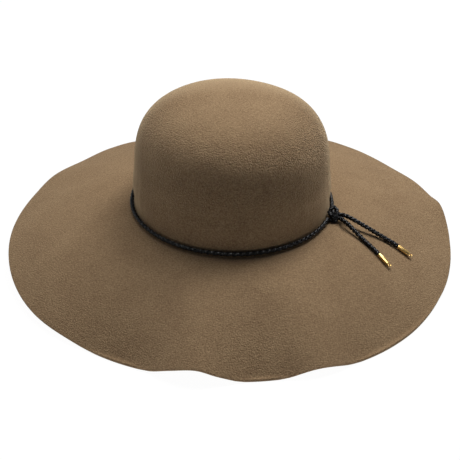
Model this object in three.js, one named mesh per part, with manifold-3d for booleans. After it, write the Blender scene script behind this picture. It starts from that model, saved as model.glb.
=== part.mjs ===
// A floppy felt hat: crown and brim moulded in one piece of wool felt, with a braided
// leather cord tied round the foot of the crown. Millimetres, +Z up, the front of the
// head along -Y. The origin is on the surface that the brim rests on, under the crown's
// middle. Azimuths are in degrees from +X towards +Y.

import * as THREE from "three";
import Module from "manifold-3d";
import { mergeVertices } from "three/addons/utils/BufferGeometryUtils.js";

const wasm = await Module();
wasm.setup();

// Felt
const HEAD_WIDTH = 173.2; // inside the crown, ear to ear
const HEAD_LENGTH = 187.2; // inside the crown, forehead to nape
const FELT = 2.4; // thickness of the felt
const CROWN_HEIGHT = 107; // from the brim's top face at the crown's foot to the crown's top
const BRIM_WIDTH = 124; // along the felt, from the crown's wall to the cut edge
const REST_HEIGHT = 51; // the brim's root above the surface on which its edge rests
const ROOT_RADIUS = 6; // the bend from the crown's wall into the brim, on the top face

// Cord, knot and end caps
const CORD = 3.2; // diameter of the braid
const KNOT_CORD = 3; // the same braid, pulled tight in the knot
const CORD_SEAT = 28.6; // degrees below level at which the cord sits in the root's bend
const CAP_DIAMETER = 4.1;
const CAP_LENGTH = 12;
const CAP_CHAMFER = 0.3;
const NECK_DIAMETER = 1.7;
const NECK_LENGTH = 0.7;
const EYELET_DIAMETER = 3.3; // outside
const EYELET_WIRE = 0.95;
const GAP = 0.3; // left between pieces that touch

// The crown's section is a flat-topped arch that narrows a little upwards.
const CROWN_SQUARENESS = 6;
const CROWN_TAPER = 0.015;

// The brim's sag grows with the share of its run to these powers: the sag that all
// azimuths have in common, and each azimuth's own part, which starts further out.
const COMMON_SAG = 0.35; // as a share of BRIM_WIDTH
const SAG_POWER = 1.5;
const FOLD_POWER = 2.2;
const SETTLE = 2; // height over which the sagging felt eases into the surface it rests on

// The folds of the brim's edge: how far the edge drops below the brim's root, and how
// wide the brim is, both as shares of BRIM_WIDTH. Where the drop is more than
// REST_HEIGHT the felt lies flat on the surface.
const FOLDS = [
  { azimuth: 4, drop: 0.26, width: 1 },
  { azimuth: 10, drop: 0.275, width: 1 },
  { azimuth: 18, drop: 0.27, width: 1 },
  { azimuth: 28, drop: 0.275, width: 1 },
  { azimuth: 43, drop: 0.255, width: 1 },
  { azimuth: 54, drop: 0.27, width: 1 },
  { azimuth: 66, drop: 0.37, width: 1 },
  { azimuth: 78, drop: 0.48, width: 1 },
  { azimuth: 91, drop: 0.39, width: 1 },
  { azimuth: 103, drop: 0.285, width: 1 },
  { azimuth: 113, drop: 0.265, width: 1 },
  { azimuth: 133, drop: 0.27, width: 1 },
  { azimuth: 153, drop: 0.295, width: 1 },
  { azimuth: 170, drop: 0.31, width: 1 },
  { azimuth: 188, drop: 0.35, width: 1.015 },
  { azimuth: 202, drop: 0.37, width: 1.02 },
  { azimuth: 216, drop: 0.39, width: 1 },
  { azimuth: 229, drop: 0.48, width: 1 },
  { azimuth: 238, drop: 0.405, width: 0.995 },
  { azimuth: 244, drop: 0.34, width: 1 },
  { azimuth: 250, drop: 0.305, width: 1 },
  { azimuth: 255, drop: 0.36, width: 1 },
  { azimuth: 265, drop: 0.48, width: 1.005 },
  { azimuth: 278, drop: 0.36, width: 1 },
  { azimuth: 291, drop: 0.43, width: 1.015 },
  { azimuth: 305, drop: 0.48, width: 1.01 },
  { azimuth: 319, drop: 0.42, width: 0.995 },
  { azimuth: 335, drop: 0.39, width: 0.99 },
  { azimuth: 348, drop: 0.36, width: 1 },
  { azimuth: 356, drop: 0.31, width: 1 },
];

// The knot stands off the cord's line round the crown. Its own axes are out from the
// crown, to the side of growing azimuth, and up.
const KNOT_AZIMUTH = -30;
const KNOT_OUT = 3.6;
const KNOT_UP = 1;
const KNOT_SPAN = { front: -36, back: -23.5 }; // azimuths where the cord enters the knot

// The two strands inside the knot, from where the cord enters to the tail.
const FRONT_STRAND = [
  { out: -3.0, side: -7.0, up: -1.7 },
  { out: -1.6, side: -5.3, up: -2.5 },
  { out: 0.6, side: -5.2, up: -2.7 },
  { out: 1.7, side: -5.4, up: -0.9 },
  { out: 0.2, side: -4.9, up: 1.3 },
  { out: -1.8, side: -3.9, up: 2.3 },
  { out: -3.3, side: -2.0, up: 2.3 },
  { out: -3.5, side: 0.6, up: 2.6 },
  { out: -2.8, side: 3.2, up: 3.8 },
  { out: -1.0, side: 4.9, up: 4.7 },
  { out: 1.3, side: 3.8, up: 4.0 },
  { out: 2.9, side: 1.7, up: 2.4 },
  { out: 3.8, side: -0.4, up: 0.3 },
  { out: 4.5, side: -1.5, up: -1.3 },
];
const BACK_STRAND = [
  { out: -4.2, side: 6.6, up: -0.7 },
  { out: -3.0, side: 3.4, up: 0.1 },
  { out: -2.1, side: 0.8, up: 2.2 },
  { out: -1.1, side: -1.1, up: 4.1 },
  { out: 0.9, side: -2.5, up: 3.0 },
  { out: 2.6, side: -3.0, up: 0.7 },
  { out: 3.9, side: -4.2, up: -1.6 },
  { out: 3.2, side: -4.6, up: -3.1 },
  { out: 1.2, side: -3.4, up: -3.0 },
  { out: -0.6, side: -1.6, up: -2.9 },
  { out: -1.6, side: 0.6, up: -2.6 },
  { out: -0.6, side: 2.8, up: -1.9 },
  { out: 1.5, side: 2.6, up: -0.7 },
];
const KNOT_HEART = { out: 3, side: 4.6, up: 3.2 }; // half-sizes of the strands' pressed middle

// The loose tails, from the knot out over the brim. Out and side are measured from the
// knot's middle, and clear is the room between the cord's underside and the felt.
const capClear = (CAP_DIAMETER - CORD) / 2 + GAP;
const UPPER_TAIL = [
  { out: 7.0, side: 0.6, clear: 4.9 },
  { out: 10.6, side: 0.4, clear: 5.4 },
  { out: 14.4, side: -0.4, clear: 5.7 },
  { out: 18.2, side: -1.2, clear: 5.7 },
  { out: 22.0, side: -1.6, clear: 5.4 },
  { out: 25.8, side: -1.6, clear: 4.8 },
  { out: 29.6, side: -1.2, clear: 4.1 },
  { out: 33.4, side: -0.5, clear: 3.2 },
  { out: 37.1, side: 0.2, clear: 2.4 },
  { out: 40.9, side: 0.9, clear: 1.6 },
  { out: 44.7, side: 1.5, clear: 1.0 },
  { out: 48.4, side: 1.9, clear: 0.6 },
  { out: 52.2, side: 2.1, clear: 0.6 },
  { out: 56.2, side: 2.0, clear: capClear },
  { out: 60.2, side: 1.5, clear: capClear },
];
const LOWER_TAIL = [
  { out: 8.3, side: -4.9, clear: 4.0 },
  { out: 10.9, side: -6.6, clear: 4.4 },
  { out: 13.5, side: -8.2, clear: 4.4 },
  { out: 16.2, side: -9.7, clear: 4.2 },
  { out: 18.9, side: -11.1, clear: 3.7 },
  { out: 21.6, side: -12.4, clear: 3.0 },
  { out: 24.4, side: -13.7, clear: 2.3 },
  { out: 27.2, side: -14.9, clear: 1.6 },
  { out: 30.0, side: -16.1, clear: 1.1 },
  { out: 32.8, side: -17.3, clear: 0.7 },
  { out: 35.6, side: -18.6, clear: 0.6 },
  { out: 38.4, side: -19.9, clear: 0.6 },
  { out: 41.2, side: -21.3, clear: 0.6 },
  { out: 45.0, side: -23.3, clear: capClear },
  { out: 48.8, side: -25.3, clear: capClear },
];

// How finely the faceted solids follow the real curves. Each facet spans about this many
// degrees round its piece, and each row this share of its part of the felt's section.
const FELT_FACET = 4.5;
const CROWN_ROW = 1 / 12;
const ROOT_ROW = 1 / 3;
const BRIM_ROW = 1 / 12;
const EDGE_CROWDING = 1.15; // above 1, the brim's rows stand closer towards its edge
const CORD_FACET = 45;
const CORD_STEP = 2.5; // in cord diameters
const KNOT_STEP = 0.7; // in cord diameters
const CAP_FACET = 26;
const EYELET_FACET = 60;

function finish(color, roughness, metalness) {
  return new THREE.MeshStandardMaterial({ color, roughness, metalness });
}

const feltFinish = finish(0x8e775d, 0.95, 0);
const leatherFinish = finish(0x17181a, 0.5, 0);
const brassFinish = finish(0xc9a656, 0.25, 1);

const radians = THREE.MathUtils.degToRad;
const facets = (degrees) => Math.round(360 / degrees);
const innerRootRadius = ROOT_RADIUS + FELT;
const brimTopAtRoot = REST_HEIGHT + FELT;

function named(name, geometry, material) {
  geometry.computeVertexNormals();
  const mesh = new THREE.Mesh(geometry, material);
  mesh.name = name;
  return mesh;
}

// Radius of an ellipse with these half-axes along X and Y, at an azimuth.
function ovalRadius(halfWidth, halfLength, azimuth) {
  const across = Math.cos(radians(azimuth)) / halfWidth;
  const along = Math.sin(radians(azimuth)) / halfLength;
  return 1 / Math.hypot(across, along);
}

// A smooth closed curve through the rows of FOLDS: cubic between two rows, with each
// row's slope taken from the rows on both sides of it.
function foldAt(azimuth, key) {
  const count = FOLDS.length;
  const first = FOLDS[0].azimuth;
  const turned = first + THREE.MathUtils.euclideanModulo(azimuth - first, 360);
  let at = count - 1;
  while (FOLDS[at].azimuth > turned) at -= 1;
  const row = (index) => {
    const lap = Math.floor(index / count);
    const { azimuth: base, [key]: value } = FOLDS[index - lap * count];
    return { azimuth: base + 360 * lap, value };
  };
  const slope = (index) => {
    const before = row(index - 1);
    const after = row(index + 1);
    return (after.value - before.value) / (after.azimuth - before.azimuth);
  };
  const from = row(at);
  const to = row(at + 1);
  const span = to.azimuth - from.azimuth;
  const t = (turned - from.azimuth) / span;
  const rise = t * t * (3 - 2 * t);
  const start = t * (1 - t) * (1 - t) * span * slope(at);
  const end = t * t * (t - 1) * span * slope(at + 1);
  return from.value * (1 - rise) + to.value * rise + start + end;
}

// Height that eases into zero instead of going below it.
function settled(height) {
  if (height > SETTLE) return height;
  if (height < -SETTLE) return 0;
  return (height + SETTLE) ** 2 / (4 * SETTLE);
}

// Level distance from the crown's wall to the brim's edge: the felt's width less what
// its sagging curve takes up.
function brimRun(azimuth) {
  const width = foldAt(azimuth, "width") * BRIM_WIDTH;
  const drop = Math.min(foldAt(azimuth, "drop") * BRIM_WIDTH, REST_HEIGHT);
  const curveShare = SAG_POWER ** 2 / (2 * SAG_POWER - 1);
  return Math.sqrt(width ** 2 - curveShare * drop ** 2);
}

// Height of the brim's underside, at a share of the way from its root to its edge.
function brimUnderside(azimuth, share) {
  const ownSag = foldAt(azimuth, "drop") - COMMON_SAG;
  const sag = COMMON_SAG * share ** SAG_POWER + ownSag * share ** FOLD_POWER;
  return settled(REST_HEIGHT - BRIM_WIDTH * sag);
}

// A point of the felt's inner face. Along the section, 0 to 1 runs down the crown from
// its top, 1 to 2 round the root's bend, and 2 to 3 out along the brim.
function innerPoint(azimuth, along) {
  const wall = ovalRadius(HEAD_WIDTH / 2, HEAD_LENGTH / 2, azimuth);
  let radius;
  let height;
  if (along < 1) {
    const rise = Math.cos((along * Math.PI) / 2);
    const reach = Math.sqrt(Math.max(0, 1 - rise ** CROWN_SQUARENESS));
    radius = wall * reach * (1 - CROWN_TAPER * rise);
    height = REST_HEIGHT + innerRootRadius + (CROWN_HEIGHT - innerRootRadius) * rise;
  } else if (along < 2) {
    const turn = ((along - 1) * Math.PI) / 2;
    radius = wall + innerRootRadius * (1 - Math.cos(turn));
    height = REST_HEIGHT + innerRootRadius * (1 - Math.sin(turn));
  } else {
    const share = along - 2;
    radius = wall + innerRootRadius + (brimRun(azimuth) - ROOT_RADIUS) * share;
    height = brimUnderside(azimuth, share);
  }
  const direction = radians(azimuth);
  return new THREE.Vector3(radius * Math.cos(direction), radius * Math.sin(direction), height);
}

// The felt's outer face lies one thickness off the inner face, square to it.
function outerPoint(azimuth, along) {
  const turn = 0.2;
  const step = 0.004;
  const round = innerPoint(azimuth + turn, along).sub(innerPoint(azimuth - turn, along));
  const above = innerPoint(azimuth, Math.max(along - step, 0));
  const downward = innerPoint(azimuth, along + step).sub(above);
  const normal = downward.cross(round).normalize();
  return innerPoint(azimuth, along).addScaledVector(normal, FELT);
}

// Height of the brim's top face over a point of the plan.
function brimTop(x, y) {
  const underside = (px, py) => {
    const azimuth = THREE.MathUtils.radToDeg(Math.atan2(py, px));
    const root = ovalRadius(HEAD_WIDTH / 2, HEAD_LENGTH / 2, azimuth) + innerRootRadius;
    const share = (Math.hypot(px, py) - root) / (brimRun(azimuth) - ROOT_RADIUS);
    return brimUnderside(azimuth, Math.max(share, 0));
  };
  const step = 0.5;
  const slopeX = (underside(x + step, y) - underside(x - step, y)) / (2 * step);
  const slopeY = (underside(x, y + step) - underside(x, y - step)) / (2 * step);
  return underside(x, y) + FELT * Math.hypot(1, slopeX, slopeY);
}

// Crown and brim: an outer and an inner face of rings, closed over the crown's top and
// round the brim's cut edge.
function feltGeometry() {
  const sectors = facets(FELT_FACET);
  const crownRows = Math.round(1 / CROWN_ROW);
  const rootRows = Math.round(1 / ROOT_ROW);
  const brimRows = Math.round(1 / BRIM_ROW);
  const rings = [];
  for (let i = 1; i <= crownRows; i += 1) rings.push(i / crownRows);
  for (let i = 1; i <= rootRows; i += 1) rings.push(1 + i / rootRows);
  for (let i = 1; i <= brimRows; i += 1) rings.push(3 - (1 - i / brimRows) ** EDGE_CROWDING);
  const top = REST_HEIGHT + CROWN_HEIGHT;
  const positions = [0, 0, top + FELT, 0, 0, top];
  for (const point of [outerPoint, innerPoint]) {
    for (const along of rings) {
      for (let i = 0; i < sectors; i += 1) {
        positions.push(...point((360 * i) / sectors, along).toArray());
      }
    }
  }
  const corner = (face, ring, sector) => {
    const before = face * rings.length + ring;
    return 2 + before * sectors + (sector % sectors);
  };
  const index = [];
  const quad = (a, b, c, d) => index.push(a, b, c, a, c, d);
  const last = rings.length - 1;
  for (let i = 0; i < sectors; i += 1) {
    index.push(0, corner(0, 0, i), corner(0, 0, i + 1));
    index.push(1, corner(1, 0, i + 1), corner(1, 0, i));
    for (let ring = 0; ring < last; ring += 1) {
      quad(corner(0, ring, i), corner(0, ring + 1, i), corner(0, ring + 1, i + 1), corner(0, ring, i + 1));
      quad(corner(1, ring, i), corner(1, ring, i + 1), corner(1, ring + 1, i + 1), corner(1, ring + 1, i));
    }
    quad(corner(0, last, i), corner(1, last, i), corner(1, last, i + 1), corner(0, last, i + 1));
  }
  const geometry = new THREE.BufferGeometry();
  geometry.setAttribute("position", new THREE.Float32BufferAttribute(positions, 3));
  geometry.setIndex(index);
  return geometry;
}

// The cord's line round the crown, seated in the bend of the brim's root.
function bandPoint(azimuth) {
  const room = ROOT_RADIUS - CORD / 2 - GAP;
  const standoff = ROOT_RADIUS - room * Math.cos(radians(CORD_SEAT));
  const radius = ovalRadius(HEAD_WIDTH / 2 + FELT, HEAD_LENGTH / 2 + FELT, azimuth) + standoff;
  const height = brimTopAtRoot + ROOT_RADIUS - room * Math.sin(radians(CORD_SEAT));
  const direction = radians(azimuth);
  return new THREE.Vector3(radius * Math.cos(direction), radius * Math.sin(direction), height);
}

class BandCurve extends THREE.Curve {
  getPoint(t) {
    return bandPoint(KNOT_SPAN.back + t * (360 + KNOT_SPAN.front - KNOT_SPAN.back));
  }
}

// A round cord along a curve, with flat ends.
function cordGeometry(curve, diameter, stepLength) {
  const corners = [];
  const sides = facets(CORD_FACET);
  for (let i = 0; i < sides; i += 1) {
    const turn = (2 * Math.PI * i) / sides;
    corners.push(new THREE.Vector2(Math.cos(turn), Math.sin(turn)).multiplyScalar(diameter / 2));
  }
  return new THREE.ExtrudeGeometry(new THREE.Shape(corners), {
    steps: Math.round(curve.getLength() / stepLength),
    extrudePath: curve,
    bevelEnabled: false,
  });
}

function solid(geometry) {
  const bare = geometry.clone();
  bare.deleteAttribute("normal");
  bare.deleteAttribute("uv");
  const merged = mergeVertices(bare, 1e-4);
  return new wasm.Manifold(
    new wasm.Mesh({
      numProp: 3,
      vertProperties: new Float32Array(merged.attributes.position.array),
      triVerts: new Uint32Array(merged.index.array),
    }),
  );
}

function fromSolid(manifold) {
  const { vertProperties, triVerts } = manifold.getMesh();
  const geometry = new THREE.BufferGeometry();
  geometry.setAttribute("position", new THREE.Float32BufferAttribute(vertProperties, 3));
  geometry.setIndex(Array.from(triVerts));
  return geometry;
}

const knotMiddle = bandPoint(KNOT_AZIMUTH);
const knotOut = new THREE.Vector3(1, 0, 0).applyAxisAngle(new THREE.Vector3(0, 0, 1), radians(KNOT_AZIMUTH));
const knotSide = new THREE.Vector3(-knotOut.y, knotOut.x, 0);
knotMiddle.addScaledVector(knotOut, KNOT_OUT);
knotMiddle.z += KNOT_UP;

function fromKnot({ out, side, up = 0 }) {
  const point = knotMiddle.clone().addScaledVector(knotOut, out).addScaledVector(knotSide, side);
  point.z += up;
  return point;
}

function tailPoints(route) {
  return route.map((row) => {
    const point = fromKnot(row);
    point.z = brimTop(point.x, point.y) + CORD / 2 + row.clear;
    return point;
  });
}

// A strand of the knot: a straight stretch that carries on from the cord round the crown,
// the chosen turns, and a straight stretch that ends one gap before the tail.
function knotStrand(entry, inward, turns, tail) {
  const straight = CORD / 2;
  const outward = tail[1].clone().sub(tail[0]).normalize();
  const points = [
    entry.clone().addScaledVector(inward, GAP),
    entry.clone().addScaledVector(inward, GAP + straight),
    ...turns.map(fromKnot),
    tail[0].clone().addScaledVector(outward, -GAP - straight),
    tail[0].clone().addScaledVector(outward, -GAP),
  ];
  return cordGeometry(new THREE.CatmullRomCurve3(points), KNOT_CORD, KNOT_STEP * KNOT_CORD);
}

function knotGeometry(band, upperTail, lowerTail) {
  const front = knotStrand(band.getPoint(1), band.getTangent(1), FRONT_STRAND, lowerTail);
  const back = knotStrand(band.getPoint(0), band.getTangent(0).negate(), BACK_STRAND, upperTail);
  const heart = new THREE.SphereGeometry(1, 10, 6);
  heart.scale(KNOT_HEART.out, KNOT_HEART.side, KNOT_HEART.up);
  heart.rotateZ(radians(KNOT_AZIMUTH));
  heart.translate(...knotMiddle.toArray());
  return fromSolid(solid(front).add(solid(back)).add(solid(heart)));
}

// A turned end cap with a small eyelet, along +Z from the cord's end.
function capGeometry() {
  const radius = CAP_DIAMETER / 2;
  const eyeletCentre = CAP_LENGTH + NECK_LENGTH + (EYELET_DIAMETER - EYELET_WIRE) / 2;
  const profile = [
    [0, 0],
    [radius - CAP_CHAMFER, 0],
    [radius, CAP_CHAMFER],
    [radius, CAP_LENGTH - CAP_CHAMFER],
    [radius - CAP_CHAMFER, CAP_LENGTH],
    [NECK_DIAMETER / 2, CAP_LENGTH],
    [NECK_DIAMETER / 2, CAP_LENGTH + NECK_LENGTH],
    [0, CAP_LENGTH + NECK_LENGTH],
  ];
  const sides = facets(CAP_FACET);
  const body = new THREE.LatheGeometry(profile.map(([r, z]) => new THREE.Vector2(r, z)), sides);
  body.rotateX(Math.PI / 2);
  const ringRadius = (EYELET_DIAMETER - EYELET_WIRE) / 2;
  const eyelet = new THREE.TorusGeometry(ringRadius, EYELET_WIRE / 2, facets(EYELET_FACET), sides);
  eyelet.rotateX(Math.PI / 2);
  eyelet.translate(0, 0, eyeletCentre);
  return fromSolid(solid(body).add(solid(eyelet)));
}

function cap(name, tail) {
  const mesh = named(name, capGeometry(), brassFinish);
  const end = tail.at(-1);
  const along = end.clone().sub(tail.at(-2)).normalize();
  mesh.quaternion.setFromUnitVectors(new THREE.Vector3(0, 0, 1), along);
  mesh.position.copy(end).addScaledVector(along, GAP);
  return mesh;
}

function tail(name, points) {
  const curve = new THREE.CatmullRomCurve3(points);
  return named(name, cordGeometry(curve, CORD, CORD_STEP * CORD), leatherFinish);
}

const band = new BandCurve();
const upperTail = tailPoints(UPPER_TAIL);
const lowerTail = tailPoints(LOWER_TAIL);

const hat = new THREE.Group();
hat.add(named("felt_body", feltGeometry(), feltFinish));

const cord = new THREE.Group();
cord.add(named("band", cordGeometry(band, CORD, CORD_STEP * CORD), leatherFinish));
cord.add(named("knot", knotGeometry(band, upperTail, lowerTail), leatherFinish));
cord.add(tail("tail_upper", upperTail));
cord.add(tail("tail_lower", lowerTail));
cord.add(cap("tip_upper", upperTail));
cord.add(cap("tip_lower", lowerTail));
hat.add(cord);

export default hat;
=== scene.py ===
# %% [markdown]
# # A floppy felt hat
#
# The hat is one moulded piece of wool felt, crown and brim together, lying on its own
# brim. A braided leather cord is tied round the foot of the crown, and its two tails end
# in polished brass caps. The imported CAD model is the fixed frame. It has every main shape,
# but with flat facets, so this lesson rebuilds each surface finely on the same formulas
# and gives it its real finish: pebbled felt, braided strands and turned brass.
#
# Lengths are in metres, as the frame's are. Sizes of the hat are written in millimetres
# and multiplied by MM, because hats and cords are measured in millimetres.

import bpy
import numpy as np
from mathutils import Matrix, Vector


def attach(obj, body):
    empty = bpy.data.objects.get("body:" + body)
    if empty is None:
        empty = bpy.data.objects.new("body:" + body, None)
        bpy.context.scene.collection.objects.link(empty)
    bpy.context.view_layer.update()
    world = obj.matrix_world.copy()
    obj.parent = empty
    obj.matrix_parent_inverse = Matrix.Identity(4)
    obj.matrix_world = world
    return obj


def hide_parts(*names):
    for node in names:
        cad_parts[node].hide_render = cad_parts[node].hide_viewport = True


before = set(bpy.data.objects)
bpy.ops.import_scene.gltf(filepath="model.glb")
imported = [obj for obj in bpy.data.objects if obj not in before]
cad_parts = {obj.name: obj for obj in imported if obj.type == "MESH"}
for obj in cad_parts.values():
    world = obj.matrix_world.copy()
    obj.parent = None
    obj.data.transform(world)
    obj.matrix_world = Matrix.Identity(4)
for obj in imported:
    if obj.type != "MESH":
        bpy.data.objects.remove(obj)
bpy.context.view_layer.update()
MM = 0.001
print("CAD nodes:", sorted(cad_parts))

# %% [markdown]
# ## The camera
#
# The photograph looks down at the hat from 30 degrees above the floor, a little from the
# wearer's right. The brim's outline barely narrows towards the back, so the camera stood
# well away with a long lens. An empty scene has no camera, so this one is made from plain
# numbers: where it aims, its azimuth and elevation, its distance, and the lens that gives
# the photograph's frame.

# %% Aim the camera
SENSOR = 36 * MM
VIEW_AZIMUTH, VIEW_ELEVATION = np.radians(-12), np.radians(30)
VIEW_DISTANCE = 1.5
VIEW_WIDTH = 427.5 * MM  # width of the photograph's frame at the hat
VIEW_TARGET = Vector((-0.0015, 0.0003, 0.0251))

behind = Vector((-np.sin(VIEW_AZIMUTH), np.cos(VIEW_AZIMUTH), 0))  # level, away from the camera
rightward = Vector((np.cos(VIEW_AZIMUTH), np.sin(VIEW_AZIMUTH), 0))
UP = Vector((0, 0, 1))


def aim(thing, target):
    """Turn an object so that its own -Z points at the target and its own Y points up."""
    thing.rotation_euler = (target - thing.location).to_track_quat("-Z", "Y").to_euler()


camera = bpy.data.objects.new("camera", bpy.data.cameras.new("camera"))
camera.data.sensor_width = SENSOR / MM
camera.data.lens = SENSOR / MM * VIEW_DISTANCE / VIEW_WIDTH
towards_camera = -behind * np.cos(VIEW_ELEVATION) + UP * np.sin(VIEW_ELEVATION)
camera.location = VIEW_TARGET + towards_camera * VIEW_DISTANCE
aim(camera, VIEW_TARGET)
bpy.context.scene.collection.objects.link(camera)
bpy.context.scene.camera = camera
print(f"camera lens {camera.data.lens:.1f} mm at {VIEW_DISTANCE} m")

# %% [markdown]
# ## The felt's shape as formulas
#
# A hat body is blocked on an oval form, so each level slice of the crown is an ellipse.
# Seen from the side the crown is a flat-topped arch: its radius is the wall's radius times
# the root of one less the sixth power of the height's share, and a slight taper narrows it
# upwards. The brim runs out from a small bend. Its sag has a part that is the same all
# round and a part of its own at each azimuth, so soft folds come from one short table of
# drops. It could be draped as cloth, but felt keeps the shape it was steamed to, and a
# formula follows the photograph closely.
#
# The table is the CAD model's, refined by a millimetre or two. The lobes that rest on the
# floor sink a little less, so the felt is pressed flat on a narrower strip, and two soft
# corners at the back stand out as they do in the photograph.

# %% Sizes of the felt
HEAD_HALF_WIDTH, HEAD_HALF_LENGTH = 86.6 * MM, 93.6 * MM  # inside the crown
FELT = 2.4 * MM
CROWN_HEIGHT = 107 * MM  # above the brim's top face
BRIM_WIDTH = 124 * MM  # along the felt
REST_HEIGHT = 51 * MM  # of the brim's root over the floor
ROOT_RADIUS = 6 * MM  # of the bend from the crown into the brim, on the outer face
INNER_ROOT = ROOT_RADIUS + FELT
CROWN_SQUARENESS, CROWN_TAPER = 6, 0.015
COMMON_SAG, SAG_POWER, FOLD_POWER = 0.35, 1.5, 2.2
SETTLE = 2 * MM  # height over which the sagging felt eases into the floor

# azimuth in degrees, drop of the edge and width of the brim as shares of BRIM_WIDTH
AZIMUTH, DROP, WIDTH = 0, 1, 2
FOLDS = np.array([
    (4, 0.26, 0.993), (10, 0.275, 0.994), (18, 0.27, 0.997), (28, 0.275, 1), (43, 0.252, 1),
    (54, 0.258, 1.002), (66, 0.37, 1), (78, 0.44, 1), (91, 0.39, 1), (103, 0.275, 1.002),
    (113, 0.262, 1), (123, 0.274, 0.995), (134, 0.268, 0.998), (144, 0.286, 0.989),
    (156, 0.3, 0.991), (170, 0.31, 0.994), (188, 0.35, 1.01), (202, 0.37, 1.015),
    (216, 0.39, 0.998), (229, 0.44, 0.998), (238, 0.405, 0.995), (244, 0.34, 1), (250, 0.305, 1),
    (255, 0.36, 1), (265, 0.44, 1.005), (278, 0.36, 1), (291, 0.43, 1.015), (305, 0.44, 1.01),
    (319, 0.42, 0.995), (335, 0.39, 0.988), (348, 0.36, 0.992), (356, 0.31, 0.991),
])
deepest = FOLDS[:, DROP].max() * BRIM_WIDTH
print(f"fold table of {len(FOLDS)} rows, deepest drop {deepest / MM:.0f} mm")


# %% Follow the table of folds
def smooth_step(share):
    """From 0 to 1 without a corner: the squared share times three less twice the share."""
    return share * share * (3 - 2 * share)


def fold_at(azimuth, column):
    """A smooth closed curve through the table: a cubic between two rows, whose slope at
    each row is that of the line from the row before it to the row after it."""
    row_angle = FOLDS[:, AZIMUTH]
    angle = np.concatenate([row_angle[-2:] - 360, row_angle, row_angle[:3] + 360])
    value = np.concatenate([FOLDS[-2:, column], FOLDS[:, column], FOLDS[:3, column]])
    slope = (value[2:] - value[:-2]) / (angle[2:] - angle[:-2])
    angle, value = angle[1:-1], value[1:-1]
    turned = row_angle[0] + (azimuth - row_angle[0]) % 360
    at = np.clip(np.searchsorted(angle, turned, side="right") - 1, 0, len(angle) - 2)
    span = angle[at + 1] - angle[at]
    t = (turned - angle[at]) / span
    ends = value[at] * (1 - smooth_step(t)) + value[at + 1] * smooth_step(t)
    return ends + span * (t * (1 - t) ** 2 * slope[at] + t * t * (t - 1) * slope[at + 1])


def oval(half_width, half_length, azimuth):
    """Radius of an ellipse: one over the length of (cosine / half width, sine / half length)."""
    a = np.radians(azimuth)
    return 1 / np.hypot(np.cos(a) / half_width, np.sin(a) / half_length)


def settled(height):
    """The height itself above SETTLE, zero below -SETTLE, and a parabola between them."""
    eased = (height + SETTLE) ** 2 / (4 * SETTLE)
    return np.where(height > SETTLE, height, np.where(height < -SETTLE, 0, eased))


def brim_run(azimuth):
    """Level reach of the brim: root of its squared width less what its curve takes up."""
    drop = np.minimum(fold_at(azimuth, DROP) * BRIM_WIDTH, REST_HEIGHT)
    width = fold_at(azimuth, WIDTH) * BRIM_WIDTH
    return np.sqrt(width**2 - SAG_POWER**2 / (2 * SAG_POWER - 1) * drop**2)


def brim_underside(azimuth, share):
    """The rest height less the common sag and the azimuth's own sag, each a power of the share."""
    own = fold_at(azimuth, DROP) - COMMON_SAG
    sag = COMMON_SAG * share**SAG_POWER + own * share**FOLD_POWER
    return settled(REST_HEIGHT - BRIM_WIDTH * sag)


print("lowest edge", brim_underside(FOLDS[:, AZIMUTH], 1.0).min(), "m")


# %% [markdown]
# ## Points of the felt
#
# One number, along, runs down the whole section: 0 to 1 from the crown's top to its foot,
# 1 to 2 round the bend, and 2 to 3 out over the brim. The outer face is the inner face
# moved out by the felt's thickness, square to it. The square direction comes from two
# small steps, one along the section and one round the hat.

# %% Inner and outer faces
STEP_ALONG, STEP_ROUND = 0.004, 0.2  # along the section, and round the hat in degrees


def polar(radius, azimuth, height):
    """X is the radius times the azimuth's cosine, Y is the radius times its sine."""
    a = np.radians(azimuth)
    return np.stack([radius * np.cos(a), radius * np.sin(a), height + 0 * a], axis=-1)


def inner_points(azimuth, along):
    """Crown: radius is wall x root(1 - rise^6) x (1 - taper x rise), height grows with rise.
    Bend: a quarter circle. Brim: radius grows evenly with the share, height is its underside."""
    wall = oval(HEAD_HALF_WIDTH, HEAD_HALF_LENGTH, azimuth)
    rise = np.cos(np.clip(along, 0, 1) * np.pi / 2)
    turn = np.clip(along - 1, 0, 1) * np.pi / 2
    share = np.clip(along - 2, 0, 1)
    crown_radius = wall * np.sqrt(1 - rise**CROWN_SQUARENESS) * (1 - CROWN_TAPER * rise)
    crown_height = REST_HEIGHT + INNER_ROOT + (CROWN_HEIGHT - INNER_ROOT) * rise
    bend_radius = wall + INNER_ROOT * (1 - np.cos(turn))
    bend_height = REST_HEIGHT + INNER_ROOT * (1 - np.sin(turn))
    brim_radius = wall + INNER_ROOT + (brim_run(azimuth) - ROOT_RADIUS) * share
    radius = np.where(along < 1, crown_radius, np.where(along < 2, bend_radius, brim_radius))
    height = np.where(along < 1, crown_height,
                      np.where(along < 2, bend_height, brim_underside(azimuth, share)))
    return polar(radius, azimuth, height)


def unit(vectors):
    """Each vector over its own length."""
    return vectors / np.linalg.norm(vectors, axis=-1, keepdims=True)


def outward(azimuth, along):
    """Unit cross product of a small step along the section and a small step round the hat."""
    low, high = np.clip(along - STEP_ALONG, 0, 3), np.clip(along + STEP_ALONG, 0, 3)
    down = inner_points(azimuth, high) - inner_points(azimuth, low)
    across = inner_points(azimuth + STEP_ROUND, along) - inner_points(azimuth - STEP_ROUND, along)
    return unit(np.cross(down, across))


print("outward at the foot:", outward(np.array([0.0]), np.array([1.0])).round(3))

# %% [markdown]
# ## Cords first
#
# The two tails are the only free cords. Their routes are the CAD model's own: distances
# out from the knot and to its side, and the room under the cord, so that each tail leaves
# the knot above the felt and comes down to lie on it. A smooth curve goes through the
# points, as in the solids, so both lie in the same place.

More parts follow.
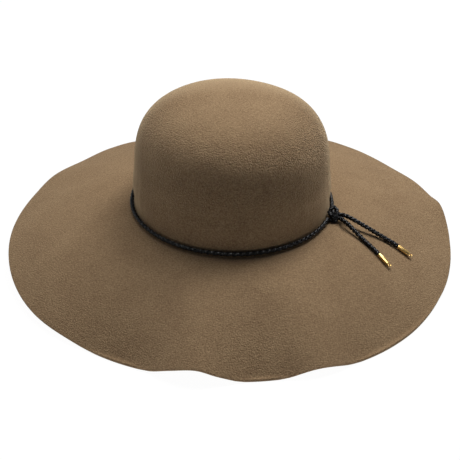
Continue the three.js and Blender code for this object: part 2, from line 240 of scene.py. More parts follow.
# %% Sizes of the cord and the knot's place
CORD = 3.2 * MM
SLACK_CORD = 3.4 * MM  # the free tails' braid is a little fuller than where it is pulled tight
KNOT_CORD = 3.3 * MM  # and so is the knot's, as the strands bulge where they are bent
CORD_SEAT = np.radians(28.6)  # below level, where the cord sits in the bend
GAP = 0.3 * MM
CAP_DIAMETER = 4.1 * MM
CAP_CLEAR = (CAP_DIAMETER - CORD) / 2 / MM + GAP / MM  # room under the cord at a cap, in mm
KNOT_AZIMUTH, KNOT_OUT, KNOT_UP = -30, 3.6 * MM, 1 * MM
KNOT_FRONT, KNOT_BACK = -36, -23.5  # azimuths at which the cord enters the knot


def band_points(azimuth):
    """An oval round the crown's foot, seated in the bend: the bend's centre less the room's
    cosine outwards, and less its sine downwards."""
    room = ROOT_RADIUS - CORD / 2 - GAP
    wall = oval(HEAD_HALF_WIDTH + FELT, HEAD_HALF_LENGTH + FELT, azimuth)
    radius = wall + ROOT_RADIUS - room * np.cos(CORD_SEAT)
    return polar(radius, azimuth, REST_HEIGHT + FELT + ROOT_RADIUS - room * np.sin(CORD_SEAT))


knot_out = np.array([np.cos(np.radians(KNOT_AZIMUTH)), np.sin(np.radians(KNOT_AZIMUTH)), 0])
knot_side = np.array([-knot_out[1], knot_out[0], 0])
knot_middle = band_points(np.array(KNOT_AZIMUTH)) + KNOT_OUT * knot_out + [0, 0, KNOT_UP]
print("knot's middle:", (knot_middle / MM).round(2), "mm")


# %% Rest a point on the brim
def brim_top(x, y):
    """The underside's height plus the felt's thickness stretched by the slope: FELT times
    the length of (1, slope along X, slope along Y)."""
    def underside(px, py):
        """The brim's underside at the share of its run that a level distance makes."""
        azimuth = np.degrees(np.arctan2(py, px))
        root = oval(HEAD_HALF_WIDTH, HEAD_HALF_LENGTH, azimuth) + INNER_ROOT
        share = (np.hypot(px, py) - root) / (brim_run(azimuth) - ROOT_RADIUS)
        return brim_underside(azimuth, np.maximum(share, 0))
    step = 0.5 * MM
    slope_x = (underside(x + step, y) - underside(x - step, y)) / (2 * step)
    slope_y = (underside(x, y + step) - underside(x, y - step)) / (2 * step)
    return underside(x, y) + FELT * np.sqrt(1 + slope_x**2 + slope_y**2)


def tail_points(route):
    """Out and side from the knot, at the brim's top plus half a cord plus the room under it."""
    out, side, clear = np.array(route).T * MM
    points = knot_middle + out[:, None] * knot_out + side[:, None] * knot_side
    points[:, 2] = brim_top(points[:, 0], points[:, 1]) + CORD / 2 + clear
    return points


# out, side and clear, in millimetres
UPPER_TAIL = [
    (7, 0.6, 4.9), (10.6, 0.4, 5.4), (14.4, -0.4, 5.7), (18.2, -1.2, 5.7), (22, -1.6, 5.4),
    (25.8, -1.6, 4.8), (29.6, -1.2, 4.1), (33.4, -0.5, 3.2), (37.1, 0.2, 2.4), (40.9, 0.9, 1.6),
    (44.7, 1.5, 1), (48.4, 1.9, 0.6), (52.2, 2.1, 0.6), (56.2, 2, CAP_CLEAR),
    (60.2, 1.5, CAP_CLEAR),
]
LOWER_TAIL = [
    (8.3, -4.9, 4), (10.9, -6.6, 4.4), (13.5, -8.2, 4.4), (16.2, -9.7, 4.2), (18.9, -11.1, 3.7),
    (21.6, -12.4, 3), (24.4, -13.7, 2.3), (27.2, -14.9, 1.6), (30, -16.1, 1.1), (32.8, -17.3, 0.7),
    (35.6, -18.6, 0.6), (38.4, -19.9, 0.6), (41.2, -21.3, 0.6), (45, -23.3, CAP_CLEAR),
    (48.8, -25.3, CAP_CLEAR),
]
upper_points, lower_points = tail_points(UPPER_TAIL), tail_points(LOWER_TAIL)
for tail_start in (upper_points[0], lower_points[0]):
    print("a tail starts at", (tail_start / MM).round(1), "mm")


# %% A smooth line through points
CURVE_STEPS = 40  # steps from one point to the next
STATION = 0.4 * MM  # distance between the stations of a finished line


def evenly(line, spacing):
    """The same line with stations at equal distances along it."""
    far = np.concatenate([[0], np.cumsum(np.linalg.norm(np.diff(line, axis=0), axis=1))])
    stations = np.linspace(0, far[-1], max(2, int(np.ceil(far[-1] / spacing)) + 1))
    return np.stack([np.interp(stations, far, line[:, i]) for i in range(3)], axis=-1)


def length_of(line):
    """The sum of the distances from each station to the next."""
    return float(np.linalg.norm(np.diff(line, axis=0), axis=1).sum())


def smooth_line(points):
    """A centripetal Catmull-Rom curve: between two points it is a cubic, whose slope at each
    comes from the points on both sides, weighted by the roots of their distances. Its
    stations are then spaced evenly."""
    p = np.stack([2 * points[0] - points[1], *points, 2 * points[-1] - points[-2]])
    root = np.sqrt(np.linalg.norm(np.diff(p, axis=0), axis=1))[:, None]
    before, here, after = root[:-2], root[1:-1], root[2:]
    p0, p1, p2, p3 = p[:-3], p[1:-2], p[2:-1], p[3:]
    start = here * ((p1 - p0) / before - (p2 - p0) / (before + here) + (p2 - p1) / here)
    end = here * ((p2 - p1) / here - (p3 - p1) / (here + after) + (p3 - p2) / after)
    t = (np.arange(CURVE_STEPS) / CURVE_STEPS)[None, :, None]
    curve = (p1[:, None] * (1 - 3 * t**2 + 2 * t**3) + p2[:, None] * (3 * t**2 - 2 * t**3)
             + start[:, None] * (t - 2 * t**2 + t**3) + end[:, None] * (t**3 - t**2))
    return evenly(np.concatenate([curve.reshape(-1, 3), points[-1:]]), STATION)


upper_line, lower_line = smooth_line(upper_points), smooth_line(lower_points)
print(f"tails are {length_of(upper_line) / MM:.1f} and {length_of(lower_line) / MM:.1f} mm long")

# %% [markdown]
# ## Braided cord
#
# Round leather cord is braided from four flat strands. Two wind one way and two the other,
# and where they cross they go over and under in turn. A plain tube with a bump would look
# printed, so each strand is a real tube of its own: it circles the cord's line once in
# each pitch, and it moves out and in by a cosine that has two waves in each pitch.
#
# From one side a strand comes round to the top every half pitch. Those steps were read off
# the photograph: 4 mm on the slack tails and 5.8 mm on the band, which is pulled tight.
# Each point also carries a value, highest on the back of a strand that lies on top and zero
# where strands dip under, and the leather's colour follows it: partly wear, partly a painted
# highlight on top and painted shade between the strands.

# %% Put a grid into a mesh
def grid_faces(rows, columns, wrap_rows, wrap_columns, start=0):
    """Four-sided faces between neighbours of a grid, wrapped round where asked."""
    r = np.arange(rows if wrap_rows else rows - 1)[:, None]
    c = np.arange(columns if wrap_columns else columns - 1)[None, :]
    r2, c2 = (r + 1) % rows, (c + 1) % columns
    corners = [r * columns + c, r * columns + c2, r2 * columns + c2, r2 * columns + c]
    return start + np.stack(corners, axis=-1).reshape(-1, 4)


def new_piece(name, points, quads, fans):
    """A mesh object at the origin from arrays of points, four-sided faces and end faces."""
    mesh = bpy.data.meshes.new(name)
    mesh.from_pydata(points.tolist(), [], quads.tolist() + [list(f) for f in fans])
    mesh.validate()
    mesh.shade_smooth()
    piece = bpy.data.objects.new(name, mesh)
    bpy.context.scene.collection.objects.link(piece)
    return piece


def mark(piece, name, values):
    """Store one number for each point of the mesh, for the material to read."""
    attribute = piece.data.attributes.new(name, "FLOAT", "POINT")
    attribute.data.foreach_set("value", values.astype(np.float32))


def directions(line):
    """Unit steps along the line, by central differences."""
    return unit(np.gradient(line, axis=0))


def side_frames(line):
    """Two unit directions square to the line at each station, at its start one level and one
    downward. They are carried along from one station to the next without twisting."""
    tangents = directions(line)
    first = np.zeros_like(line)
    first[0] = unit(np.cross(tangents[0], [0, 0, 1.0]))
    for i in range(1, len(line)):
        carried = first[i - 1] - np.dot(first[i - 1], tangents[i]) * tangents[i]
        first[i] = unit(carried)
    return first, np.cross(tangents, first)


# %% Wind the strands of a braid
STRAND_SIDES = 10
TAIL_PITCH = 8.0 * MM  # one full turn of a strand; the photograph shows a strand each half turn
BAND_PITCH = 11.6 * MM  # longer, because the band is drawn tight round the crown
BRAID_ROLL = np.radians(-50)  # turns one row of strands up and forwards, where it is seen
STRAND_REACH, STRAND_WEAVE = 0.66, 0.2  # a strand's middle, and how far it weaves out and in
STRAND_WIDE, STRAND_THIN = 0.72, 0.4  # half-sizes of a strand's section


def braid(line, diameter, pitch):
    """Four closed tubes round a line. A strand's middle is at radius (reach + weave cos 2w)
    of the cord's half, where w is its winding angle, and each section is an ellipse, wide
    along the cord's skin and thin across it. The last array, the painted light on each
    point, is the square of the strand's share of being on top, times the sine round its
    section: wear and a painted highlight where it is high, painted shade where it is zero."""
    first, second = side_frames(line)
    step = length_of(line) / (len(line) - 1)
    w = 2 * np.pi * np.arange(len(line)) * step / pitch
    half = diameter / 2
    points, quads, fans, wear_and_painted_light = [], [], [], []
    for hand, phase in ((1, 0), (1, np.pi), (-1, 0), (-1, np.pi)):
        angle = hand * w + phase + BRAID_ROLL
        radius = half * (STRAND_REACH + hand * STRAND_WEAVE * np.cos(2 * w))
        spoke = np.cos(angle)[:, None] * first + np.sin(angle)[:, None] * second
        middle = line + radius[:, None] * spoke
        course = directions(middle)
        skin = unit(np.cross(spoke, course))
        lift = unit(np.cross(course, skin))
        turn = 2 * np.pi * np.arange(STRAND_SIDES) / STRAND_SIDES
        wide = half * STRAND_WIDE * np.cos(turn)[None, :, None] * skin[:, None]
        thin = half * STRAND_THIN * np.sin(turn)[None, :, None] * lift[:, None]
        start = sum(len(p) for p in points)
        points.append((middle[:, None] + wide + thin).reshape(-1, 3))
        over = (1 + hand * np.cos(2 * w)) / 2
        wear_and_painted_light.append((over[:, None] ** 2 * np.maximum(np.sin(turn), 0)).ravel())
        quads.append(grid_faces(len(line), STRAND_SIDES, False, True, start))
        last = start + (len(line) - 1) * STRAND_SIDES
        fans.append(range(start, start + STRAND_SIDES))
        fans.append(range(last + STRAND_SIDES - 1, last - 1, -1))
    return np.concatenate(points), np.concatenate(quads), fans, np.concatenate(wear_and_painted_light)


strand_quads = braid(upper_line, SLACK_CORD, TAIL_PITCH)[1]
print(f"the upper tail's braid has {len(strand_quads)} four-sided faces")


# %% Check which way faces point
def facing_out(points, quads, fans):
    """Turn every face round if the closed mesh's volume comes out negative. The volume is a
    sixth of the sum, over its triangles, of one corner times the cross product of the others."""
    a, b, c, d = (points[quads[:, i]] for i in range(4))
    volume = np.einsum("ij,ij->i", a, np.cross(b, c) + np.cross(c, d)).sum() / 6
    for face in fans:
        corners = points[list(face)]
        volume += (np.cross(corners[1:-1], corners[2:]) @ corners[0]).sum() / 6
    if volume < 0:
        quads, fans = quads[:, ::-1], [list(face)[::-1] for face in fans]
    return quads, fans


def braided_piece(name, lines, diameter, pitch):
    """One mesh of the braids along one or more lines."""
    points, quads, fans, wear_and_painted_light = [], [], [], []
    start = 0
    for line in lines:
        p, q, f, r = braid(line, diameter, pitch)
        q, f = facing_out(p, q, f)
        points.append(p)
        wear_and_painted_light.append(r)
        quads.append(q + start)
        fans += [[start + i for i in face] for face in f]
        start += len(p)
    piece = new_piece(name, np.concatenate(points), np.concatenate(quads), fans)
    mark(piece, "wear_and_painted_light", np.concatenate(wear_and_painted_light))
    return piece


tail_upper = braided_piece("braided_tail_upper", [upper_line], SLACK_CORD, TAIL_PITCH)
tail_lower = braided_piece("braided_tail_lower", [lower_line], SLACK_CORD, TAIL_PITCH)
print("tails:", len(tail_upper.data.polygons), "and", len(tail_lower.data.polygons), "faces")

# %% [markdown]
# ## End caps
#
# Each tail ends in a turned brass cap: a smooth tube with broken edges, a short neck and a
# small eyelet. A profile turned about the cord's line gives the body, and a ring carried
# round a circle gives the eyelet. Both are grids that wrap round, so they have no seam.

# %% Turn the caps
CAP_LENGTH = 12 * MM
CAP_LIP = 0.35 * MM
NECK_DIAMETER, NECK_LENGTH = 1.7 * MM, 0.7 * MM
EYELET_DIAMETER, EYELET_WIRE = 3.3 * MM, 0.95 * MM
CAP_SIDES, RING_SIDES, LIP_ROWS = 40, 16, 5
INNER_RING = 0.4  # share of a flat end's radius at which its last ring of faces starts


def placed(points, origin, along, across):
    """Points given as (across, other, along) moved to a cap's own place and direction."""
    other = np.cross(along, across)
    return origin + points[:, :1] * across + points[:, 1:2] * other + points[:, 2:] * along


def cap_profile():
    """Radius and distance along: a flat face, a quarter-round lip, the straight barrel,
    a quarter-round lip, a flat face, and the neck."""
    r, lip = CAP_DIAMETER / 2, CAP_LIP
    quarter = np.linspace(0, np.pi / 2, LIP_ROWS)
    sine, cosine = np.sin(quarter), np.cos(quarter)
    near = np.stack([r - lip + lip * sine, lip - lip * cosine], axis=-1)
    far = np.stack([r - lip + lip * cosine, CAP_LENGTH - lip + lip * sine], axis=-1)
    neck_end = CAP_LENGTH + NECK_LENGTH
    neck = [(NECK_DIAMETER / 2, CAP_LENGTH), (NECK_DIAMETER / 2, neck_end)]
    inner_ring, end_ring = [(r * INNER_RING, 0)], [(NECK_DIAMETER / 2 * INNER_RING, neck_end)]
    return np.concatenate([np.array(row) for row in (inner_ring, near, far, neck, end_ring)])


def cap_piece(name, points):
    """The profile turned about the tail's last stretch, and a torus for the eyelet."""
    along = unit(points[-1] - points[-2])
    across = unit(np.cross(along, [0, 0, 1.0]))
    origin = points[-1] + GAP * along
    profile = cap_profile()
    turn = 2 * np.pi * np.arange(CAP_SIDES) / CAP_SIDES
    r, z = profile[:, :1], profile[:, 1:]
    body = np.stack([r * np.cos(turn), r * np.sin(turn), z + 0 * turn], axis=-1).reshape(-1, 3)
    quads = grid_faces(len(profile), CAP_SIDES, False, True)
    last = (len(profile) - 1) * CAP_SIDES
    fans = [range(CAP_SIDES - 1, -1, -1), range(last, last + CAP_SIDES)]
    quads, fans = facing_out(body, quads, fans)
    ring_radius, wire = (EYELET_DIAMETER - EYELET_WIRE) / 2, EYELET_WIRE / 2
    round_wire, round_ring = np.meshgrid(2 * np.pi * np.arange(RING_SIDES) / RING_SIDES, turn)
    reach = ring_radius + wire * np.cos(round_wire)
    ring = np.stack([reach * np.cos(round_ring), wire * np.sin(round_wire),
                     reach * np.sin(round_ring)], axis=-1).reshape(-1, 3)
    ring_quads, _ = facing_out(ring, grid_faces(CAP_SIDES, RING_SIDES, True, True), [])
    ring[:, 2] += CAP_LENGTH + NECK_LENGTH + ring_radius
    everything = placed(np.concatenate([body, ring]), origin, along, across)
    return new_piece(name, everything, np.concatenate([quads, ring_quads + len(body)]), fans)


cap_upper = cap_piece("brass_cap_upper", upper_points)
cap_lower = cap_piece("brass_cap_lower", lower_points)
print("caps:", len(cap_upper.data.polygons), "faces each")

for tail, cap, line, node, tip, length in (
    (tail_upper, cap_upper, upper_line, "tail_upper", "tip_upper", 0.059),
    (tail_lower, cap_lower, lower_line, "tail_lower", "tip_lower", 0.049),
):
    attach(tail, "root")
    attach(cap, "root")
    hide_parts(node)
    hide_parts(tip)

# %% [markdown]
# ## The cord round the crown and its knot
#
# The band lies in the bend where crown meets brim. It is one braid that goes almost all
# the way round, between the two places where it enters the knot. The knot is an overhand
# tie: two strands that cross, wrap and come out as the tails. Each is the same braid, a
# little fuller where it bends, along a smooth line through listed points.

# %% Braid the band
BAND_STATION = 0.42 * MM
BAND_SAMPLES = 3000  # fine enough that the chords between them follow the oval


def band_line():
    """The band's oval, from the knot's back all the way round to its front."""
    azimuth = np.linspace(KNOT_BACK, 360 + KNOT_FRONT, BAND_SAMPLES)
    return evenly(band_points(azimuth), BAND_STATION)


band_course = band_line()
band = braided_piece("braided_band", [band_course], CORD, BAND_PITCH)
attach(band, "root")
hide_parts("band")
print(f"band: {length_of(band_course) / MM:.0f} mm, {len(band.data.polygons)} faces")

# %% Tie the knot
# out, side and up from the knot's middle, in millimetres
FRONT_STRAND = [
    (-3, -7, -1.7), (-1.6, -5.3, -2.5), (0.6, -5.2, -2.7), (1.7, -5.4, -0.9), (0.2, -4.9, 1.3),
    (-1.8, -3.9, 2.3), (-3.3, -2, 2.3), (-3.5, 0.6, 2.6), (-2.8, 3.2, 3.8), (-1, 4.9, 4.7),
    (1.3, 3.8, 4), (2.9, 1.7, 2.4), (3.8, -0.4, 0.3), (4.5, -1.5, -1.3),
]
BACK_STRAND = [
    (-4.2, 6.6, -0.7), (-3, 3.4, 0.1), (-2.1, 0.8, 2.2), (-1.1, -1.1, 4.1), (0.9, -2.5, 3),
    (2.6, -3, 0.7), (3.9, -4.2, -1.6), (3.2, -4.6, -3.1), (1.2, -3.4, -3), (-0.6, -1.6, -2.9),
    (-1.6, 0.6, -2.6), (-0.6, 2.8, -1.9), (1.5, 2.6, -0.7),
]


def knot_line(entry, turns, tail):
    """From the band's end, through the turns, and straight on into the tail's first point."""
    out, side, up = np.array(turns).T[:, :, None] * MM
    placed_turns = knot_middle + out * knot_out + side * knot_side + up * np.array([0, 0, 1])
    straight = GAP + CORD / 2
    into, out_of = unit(entry[-1] - entry[-2]), unit(tail[1] - tail[0])
    points = [entry[-1], entry[-1] + into * straight, *placed_turns,
              tail[0] - out_of * straight, tail[0]]
    return smooth_line(np.array(points))


front_line = knot_line(band_course[-2:], FRONT_STRAND, lower_points)
back_line = knot_line(band_course[1::-1], BACK_STRAND, upper_points)
knot = braided_piece("braided_knot", [front_line, back_line], KNOT_CORD, TAIL_PITCH)
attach(knot, "root")
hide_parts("knot")
print(f"knot: strands of {length_of(front_line) / MM:.0f} and {length_of(back_line) / MM:.0f} mm")

# %% [markdown]
# ## The felt body
#
# The whole hat is one closed sheet. Its outer face runs from the crown's top down to the
# brim's edge, rounds the cut edge and comes back along the inner face, so one grid with a
# pole at each end makes it. The block's slight unevenness, the swell and flutes where the
# cord draws the crown in, and the brim's faint ripples are added to both faces alike, so
# the felt keeps its thickness.

# %% Uneven the felt a little
BRIM_RIPPLE, CROWN_RIPPLE = 0.35 * MM, 0.3 * MM
FLUTE_DEPTH, SWELL_DEPTH = 0.18 * MM, 1.3 * MM
SWELL_START, SWELL_RUN = 0.78, 0.205  # on the crown, along the section
FLUTES_START, FLUTES_RISE, FLUTES_FALL = 0.6, 0.3, 0.12
CALM_HEIGHT = 12 * MM  # lower than this over the floor, the brim's ripples die away


def ripple(azimuth, along):
    """Soft unevenness square to the felt: a few waves with different counts round the hat,
    largest half way down the crown and half way out on the brim, and none where it rests.
    Low on the crown, where the cord has drawn the felt in, come a swell above the cord, a
    squared half wave, and narrow upright flutes, sums and products of sines round the hat."""
    a = np.radians(azimuth)
    share = np.clip(along - 2, 0, 1)
    free = np.clip(brim_underside(azimuth, share) / CALM_HEIGHT, 0, 1)
    brim = np.sin(7 * a + 5 * share) + 0.7 * np.sin(11 * a - 7 * share + 1.3)
    crown = np.sin(3 * a + 4 * along) + 0.6 * np.sin(5 * a - 6 * along + 2.1)
    flutes = np.sin(29 * a + 0.8) * np.sin(5 * a + 0.4) + 0.6 * np.sin(47 * a)
    rise = np.clip((along - FLUTES_START) / FLUTES_RISE, 0, 1)
    low = rise * np.clip((1 - along) / FLUTES_FALL, 0, 1)
    swell = np.sin(np.pi * np.clip((along - SWELL_START) / SWELL_RUN, 0, 1)) ** 2
    on_brim = np.sin(np.pi * share) * free * (along > 2)
    on_crown = np.sin(np.pi * np.clip(along, 0, 1)) * (along < 1)
    waves = BRIM_RIPPLE * on_brim * brim + CROWN_RIPPLE * on_crown * crown
    return waves + FLUTE_DEPTH * low * flutes + SWELL_DEPTH * swell


swell_middle = SWELL_START + SWELL_RUN / 2
print("in the swell:", (ripple(np.arange(0, 360, 60), swell_middle) / MM).round(2), "mm")

# %% Lay out the grid
SECTORS = 320
CROWN_ROWS, BEND_ROWS, BRIM_ROWS = 45, 8, 62
EDGE_CROWDING = 1.1  # above 1, the brim's rows stand closer towards its edge


def section():
    """Values of along for the grid's rows, closer together in the bend and at the edge."""
    crown = np.linspace(0, 1, CROWN_ROWS + 2)[1:-1]
    bend = np.linspace(1, 2, BEND_ROWS + 1)[:-1]
    brim = 3 - np.linspace(1, 0, BRIM_ROWS) ** EDGE_CROWDING
    return np.concatenate([crown, bend, brim])


along = section()[:, None]
azimuth = (360 * np.arange(SECTORS) / SECTORS)[None, :]
azimuth, along = np.broadcast_arrays(azimuth, along)
square = outward(azimuth, along)
inner = inner_points(azimuth, along) + ripple(azimuth, along)[..., None] * square
outer = inner + FELT * square
print("felt rows:", inner.shape[0], "sectors:", SECTORS)

# %% Close the sheet
EDGE_BULGE = 0.45 * MM  # how far the cut edge stands out in its middle
EDGE_ROWS = 5
EDGE_FLATNESS, BULGE_FLATNESS = 0.4, 0.6  # powers below 1 square the half oval's corners


def cut_edge():
    """Rows round the cut, from the outer face to the inner one on a squarish half oval:
    across by a power of the cosine, and out by the bulge times a power of the sine."""
    middle = (outer[-1] + inner[-1]) / 2
    out = unit(inner[-1] - inner[-2])
    t = np.linspace(0, np.pi, EDGE_ROWS + 2)[1:-1, None, None]
    across = np.sign(np.cos(t)) * np.abs(np.cos(t)) ** EDGE_FLATNESS
    bulge = EDGE_BULGE * np.sin(t) ** BULGE_FLATNESS
    return middle + square[-1] * FELT / 2 * across + out * bulge


rows = np.concatenate([outer, cut_edge(), inner[::-1]])
inner_top = REST_HEIGHT + CROWN_HEIGHT
poles = np.array([[0, 0, inner_top + FELT], [0, 0, inner_top]])
points = np.concatenate([rows.reshape(-1, 3), poles])
points[:, 2] = np.maximum(points[:, 2], 0)  # nothing reaches below the floor
quads = grid_faces(len(rows), SECTORS, False, True)
first_row = np.arange(SECTORS)
last_row = first_row + (len(rows) - 1) * SECTORS
top_fan = np.stack([0 * first_row + len(points) - 2, np.roll(first_row, -1), first_row], axis=-1)
under_fan = np.stack([0 * last_row + len(points) - 1, last_row, np.roll(last_row, -1)], axis=-1)
quads, fans = facing_out(points, quads, top_fan.tolist() + under_fan.tolist())
felt = new_piece("felt_hat", points, quads, fans)
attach(felt, "root")
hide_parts("felt_body")
print("felt:", len(felt.data.polygons), "faces")

# %% Mark where the pebbling is strong, and where the sheen is painted
SMOOTH_PART = 0.22  # share of the pebbling that is left where the felt was pressed smooth
PEBBLES_START, PEBBLES_RISE, PEBBLES_FALL = 0.13, 0.32, 0.35  # along the section
PAINTED_SHEEN_END, PAINTED_SHEEN_FADE = 1.4, 0.4  # the painted sheen fades out over this run, down to this place


def pebbling(along):
    """1 on the crown's upper wall, falling by smooth steps along the section to SMOOTH_PART
    on its flat top, at its foot and over the brim."""
    rise = smooth_step(np.clip((along - PEBBLES_START) / PEBBLES_RISE, 0, 1))
    fall = smooth_step(np.clip((1 - along) / PEBBLES_FALL, 0, 1))
    return SMOOTH_PART + (1 - SMOOTH_PART) * rise * fall


# The outer face's points come first and its pole last but one; the rest is cut edge and inside.
pebbles = np.full(len(points), SMOOTH_PART)
pebbles[: along.size] = pebbling(along).ravel()
# Share of the painted sheen: whole on the crown and its pole, fading out in the bend.
painted_sheen_mask = np.zeros(len(points))
painted_sheen_mask[: along.size] = np.clip((PAINTED_SHEEN_END - along) / PAINTED_SHEEN_FADE, 0, 1).ravel()
painted_sheen_mask[-2] = 1
mark(felt, "pebbling", pebbles)
mark(felt, "painted_sheen_share", painted_sheen_mask)
print("pebbling from", pebbles.min().round(2), "to", pebbles.max().round(2))

# %% [markdown]
# ## Materials
#
# Three real finishes: pressed wool felt, braided calf leather dyed black, and polished
# brass. Colours are written as sRGB hex, as a designer would, and one function turns them
# to the linear values that the shader wants. One small helper adds a node. A mix node's
# sockets go by number here: 2 and 3 are its two plain numbers, 6 and 7 its two colours.

# %% Helpers for nodes
def linear(hex_colour):
    """Each channel from sRGB: over 12.92 when small, else ((c + 0.055) / 1.055) ^ 2.4."""
    c = np.array([int(hex_colour[i : i + 2], 16) for i in (1, 3, 5)]) / 255
    c = np.where(c <= 0.04045, c / 12.92, ((c + 0.055) / 1.055) ** 2.4)
    return (*c.tolist(), 1.0)


def new_material(name):
    """A material with its own shader node, and that node."""
    material = bpy.data.materials.new(name)
    material.use_nodes = True
    return material, material.node_tree.nodes["Principled BSDF"]


def link(material, socket, target):
    """Feed an input from another node's output."""
    material.node_tree.links.new(socket, target)


def add_node(material, kind, settings=None, links=None, **values):
    """Add a node, set its properties and its sockets, and link sockets to it."""
    node = material.node_tree.nodes.new(kind)
    for key, value in (settings or {}).items():
        setattr(node, key, value)
    for key, value in values.items():
        node.inputs[key.replace("_", " ")].default_value = value
    for key, socket in (links or {}).items():
        link(material, socket, node.inputs[key])
    return node


print("white is", linear("#ffffff"))

# %% [markdown]
# Wool felt is matted fibre. Shrinking it onto the block leaves a pebbled skin with a grain
# of about 1.4 mm, strong on the crown's upper wall and pressed almost smooth on the brim,
# with a finer nap of 1.1 mm over it. The surface is almost fully rough, and fibres stand up
# from it, so it has a soft sheen. The dye takes a little unevenly. Pebbles and nap are two
# bumps, one on the other, the speckle and the cloudiness are a mix of two browns, and on
# the crown a painted sheen, a paler brown mixed into the colour by how far the face turns
# away from the view, makes it look paler where it is seen edge on.

# %% Pressed wool felt
CLOUD, SPECKLE = 28 * MM, 1.3 * MM  # sizes of the dye's unevenness
PEBBLE, PEBBLE_DEPTH = 1.35 * MM, 2.7 * MM
NAP, NAP_DEPTH = 1.1 * MM, 0.5 * MM
wool, shader = new_material("pressed_wool_felt")
place = add_node(wool, "ShaderNodeTexCoord").outputs["Object"]
clouds = add_node(wool, "ShaderNodeTexNoise", Scale=1 / CLOUD, Detail=3.0,
                  links={"Vector": place})
speckle = add_node(wool, "ShaderNodeTexNoise", Scale=1 / SPECKLE, Detail=2.0,
                   links={"Vector": place})
tone = add_node(wool, "ShaderNodeMix", Factor=0.2,
                links={2: speckle.outputs["Fac"], 3: clouds.outputs["Fac"]})
ramp = add_node(wool, "ShaderNodeValToRGB", links={"Fac": tone.outputs[0]})
ramp.color_ramp.elements[0].position, ramp.color_ramp.elements[1].position = 0.35, 0.65
ramp.color_ramp.elements[0].color = linear("#755d44")
ramp.color_ramp.elements[1].color = linear("#937b5d")
# Painted sheen: a paler brown mixed into the crown's colour where its face turns edge on to the
# view.
facing = add_node(wool, "ShaderNodeLayerWeight", Blend=0.5)
painted_sheen_by_angle = add_node(wool, "ShaderNodeMapRange", From_Min=0.62, To_Max=0.85,
                links={"Value": facing.outputs["Facing"]})
painted_sheen_node = add_node(wool, "ShaderNodeAttribute", {"attribute_name": "painted_sheen_share"})
painted_rim = add_node(wool, "ShaderNodeMath", {"operation": "MULTIPLY"},
               links={0: painted_sheen_by_angle.outputs["Result"], 1: painted_sheen_node.outputs["Fac"]})
skin = add_node(wool, "ShaderNodeMix", {"data_type": "RGBA"},
                links={0: painted_rim.outputs[0], 6: ramp.outputs["Color"]})
skin.inputs[7].default_value = linear("#bda482")
link(wool, skin.outputs[2], shader.inputs["Base Color"])
grain = add_node(wool, "ShaderNodeTexNoise", Scale=1 / PEBBLE, Detail=1.5, links={"Vector": place})
amount = add_node(wool, "ShaderNodeAttribute", {"attribute_name": "pebbling"})
height = add_node(wool, "ShaderNodeMath", {"operation": "MULTIPLY"},
                  links={0: grain.outputs["Fac"], 1: amount.outputs["Fac"]})
relief = add_node(wool, "ShaderNodeBump", Strength=1.0, Distance=PEBBLE_DEPTH,
                  links={"Height": height.outputs[0]})
fibre = add_node(wool, "ShaderNodeTexNoise", Scale=1 / NAP, Detail=1.0, links={"Vector": place})
nap = add_node(wool, "ShaderNodeBump", Strength=1.0, Distance=NAP_DEPTH,
               links={"Height": fibre.outputs["Fac"], "Normal": relief.outputs["Normal"]})
link(wool, nap.outputs["Normal"], shader.inputs["Normal"])
shader.inputs["Roughness"].default_value = 0.95
shader.inputs["Specular IOR Level"].default_value = 0.15
shader.inputs["Sheen Weight"].default_value = 0.45
shader.inputs["Sheen Roughness"].default_value = 0.35
shader.inputs["Sheen Tint"].default_value = linear("#c9b596")
felt.data.materials.append(wool)
print("felt finish on", felt.name)

# %% [markdown]
# The cord's leather is cut in thin strips, dyed black and waxed. The back of each strand
# that lies on top is a soft grey, partly wear that takes the dye off and partly a painted
# highlight, and where strands meet and dip under it is dead black, a painted shade. The
# colour follows these values, which the braid carries. The wax gives small soft glints.
# Real grain is about 0.2 mm, too fine to show from here, so it is drawn at 0.5 mm.

# %% Waxed black leather
LEATHER_GRAIN, LEATHER_DEPTH = 0.5 * MM, 0.05 * MM
leather, shader = new_material("waxed_black_leather")
place = add_node(leather, "ShaderNodeTexCoord").outputs["Object"]
# Grey where the value is high, partly wear and partly painted highlight; black where it is low,
# painted shade between strands.
wear_and_painted_light = add_node(leather, "ShaderNodeAttribute", {"attribute_name": "wear_and_painted_light"})
ramp = add_node(leather, "ShaderNodeValToRGB", links={"Fac": wear_and_painted_light.outputs["Fac"]})
ramp.color_ramp.elements[0].position, ramp.color_ramp.elements[1].position = 0.35, 1.0
ramp.color_ramp.elements[0].color = linear("#020203")
ramp.color_ramp.elements[1].color = linear("#2a2c2f")
link(leather, ramp.outputs["Color"], shader.inputs["Base Color"])
grain = add_node(leather, "ShaderNodeTexNoise", Scale=1 / LEATHER_GRAIN, Detail=1.0,
                 links={"Vector": place})
bump = add_node(leather, "ShaderNodeBump", Strength=0.3, Distance=LEATHER_DEPTH,
                links={"Height": grain.outputs["Fac"]})
link(leather, bump.outputs["Normal"], shader.inputs["Normal"])
shader.inputs["Roughness"].default_value = 0.22
shader.inputs["Specular IOR Level"].default_value = 0.22
for piece in (band, knot, tail_upper, tail_lower):
    piece.data.materials.append(leather)
print("leather on 4 pieces")

# %% [markdown]
# The caps are turned brass, polished and lacquered. A metal's colour is in its reflection,
# so what shows is the bright lamp along the top of each barrel and the darker room below
# it. Handling leaves faint smudges, which roughen the shine and tint it unevenly.

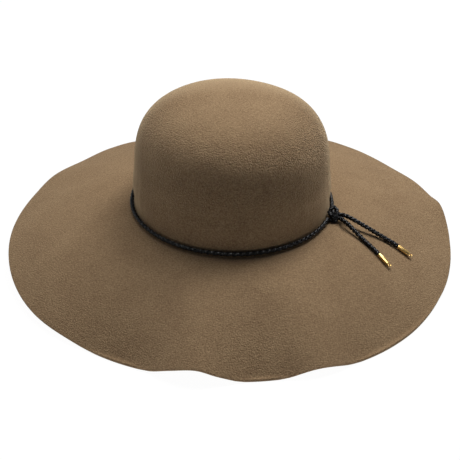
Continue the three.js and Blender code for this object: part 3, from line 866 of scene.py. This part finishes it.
# %% Polished brass
SMUDGE = 2.5 * MM
brass, shader = new_material("polished_brass")
place = add_node(brass, "ShaderNodeTexCoord").outputs["Object"]
smudge = add_node(brass, "ShaderNodeTexNoise", Scale=1 / SMUDGE, Detail=1.0,
                  links={"Vector": place})
gloss = add_node(brass, "ShaderNodeMapRange", To_Min=0.27, To_Max=0.35,
                 links={"Value": smudge.outputs["Fac"]})
link(brass, gloss.outputs["Result"], shader.inputs["Roughness"])
tint = add_node(brass, "ShaderNodeValToRGB", links={"Fac": smudge.outputs["Fac"]})
tint.color_ramp.elements[0].color = linear("#c49c53")
tint.color_ramp.elements[1].color = linear("#e0c286")
link(brass, tint.outputs["Color"], shader.inputs["Base Color"])
shader.inputs["Metallic"].default_value = 1.0
for piece in (cap_upper, cap_lower):
    piece.data.materials.append(brass)
print("brass on 2 pieces")

# %% [markdown]
# ## Floor and light
#
# The photograph has a plain white ground and soft light from above and behind: the crown's
# top and the brim are bright, its front wall goes dark downwards, and the tails' shadows
# fall just below them. Two lamps above and behind give that, and two wide weak panels at
# the sides keep the shadows soft. Their strengths were fitted together, from a render with
# each lamp alone. A fifth lamp, above and in front, is seen only in reflections. It puts
# the small glints along the front of the cord without lighting the felt.
#
# The ground glows like a light table, so it stays pure white and the hat's own shadow
# hardly shows on it. A wide glowing floor would light the crown's wall from below far too
# much, so it is two sheets: a near one that the felt sees, and a wide one just under it
# that only the camera and the shiny parts see.

# %% Floor
acrylic, shader = new_material("lit_white_acrylic")
shader.inputs["Base Color"].default_value = linear("#404040")
shader.inputs["Roughness"].default_value = 1.0
shader.inputs["Specular IOR Level"].default_value = 0.0
shader.inputs["Emission Color"].default_value = (1, 1, 1, 1)
shader.inputs["Emission Strength"].default_value = 0.97


def floor_sheet(name, half, depth):
    """A level square, its middle under the hat, a hair below the height that the hat rests on."""
    signs = ((-1, -1), (1, -1), (1, 1), (-1, 1))
    corners = [(x * half, y * half, -depth) for x, y in signs]
    mesh = bpy.data.meshes.new(name)
    mesh.from_pydata(corners, [], [(0, 1, 2, 3)])
    mesh.materials.append(acrylic)
    sheet = bpy.data.objects.new(name, mesh)
    bpy.context.scene.collection.objects.link(sheet)
    return sheet


floor_sheet("floor", half=0.8, depth=0.2 * MM)
far_floor = floor_sheet("far_floor", half=6.0, depth=0.4 * MM)
far_floor.visible_diffuse = False
print("floor of two sheets, the wide one unseen by light that the felt scatters")

# %% Lights
def soft_lamp(name, direction, distance, size, power):
    """A square lamp that looks at the hat from a direction, its power in watts."""
    lamp = bpy.data.objects.new(name, bpy.data.lights.new(name, "AREA"))
    lamp.data.size = size
    lamp.data.energy = power
    lamp.location = VIEW_TARGET + direction.normalized() * distance
    aim(lamp, VIEW_TARGET)
    bpy.context.scene.collection.objects.link(lamp)
    return lamp


soft_lamp("overhead_lamp", UP + behind * 0.2 - rightward * 0.06,
          distance=1.2, size=0.45, power=6.6)
soft_lamp("right_rear_lamp", UP + behind * 0.45 + rightward * 0.36,
          distance=1.3, size=0.52, power=13.6)
soft_lamp("right_panel", UP * 0.7 + behind * 0.35 + rightward,
          distance=1.6, size=1.2, power=2.4)
soft_lamp("left_panel", UP * 0.8 + behind * 0.2 - rightward,
          distance=1.6, size=1.2, power=3.6)
glint_panel = soft_lamp("glint_panel", UP - behind * 0.5 - rightward * 0.1,
                        distance=1.6, size=0.35, power=14)
glint_panel.visible_diffuse = False
world = bpy.data.worlds.new("dim_room")
world.use_nodes = True
background = world.node_tree.nodes["Background"]
background.inputs["Color"].default_value = (1, 1, 1, 1)
background.inputs["Strength"].default_value = 0.02
bpy.context.scene.world = world
bpy.context.scene.view_settings.view_transform = "Standard"
print("five lamps and a dim room")
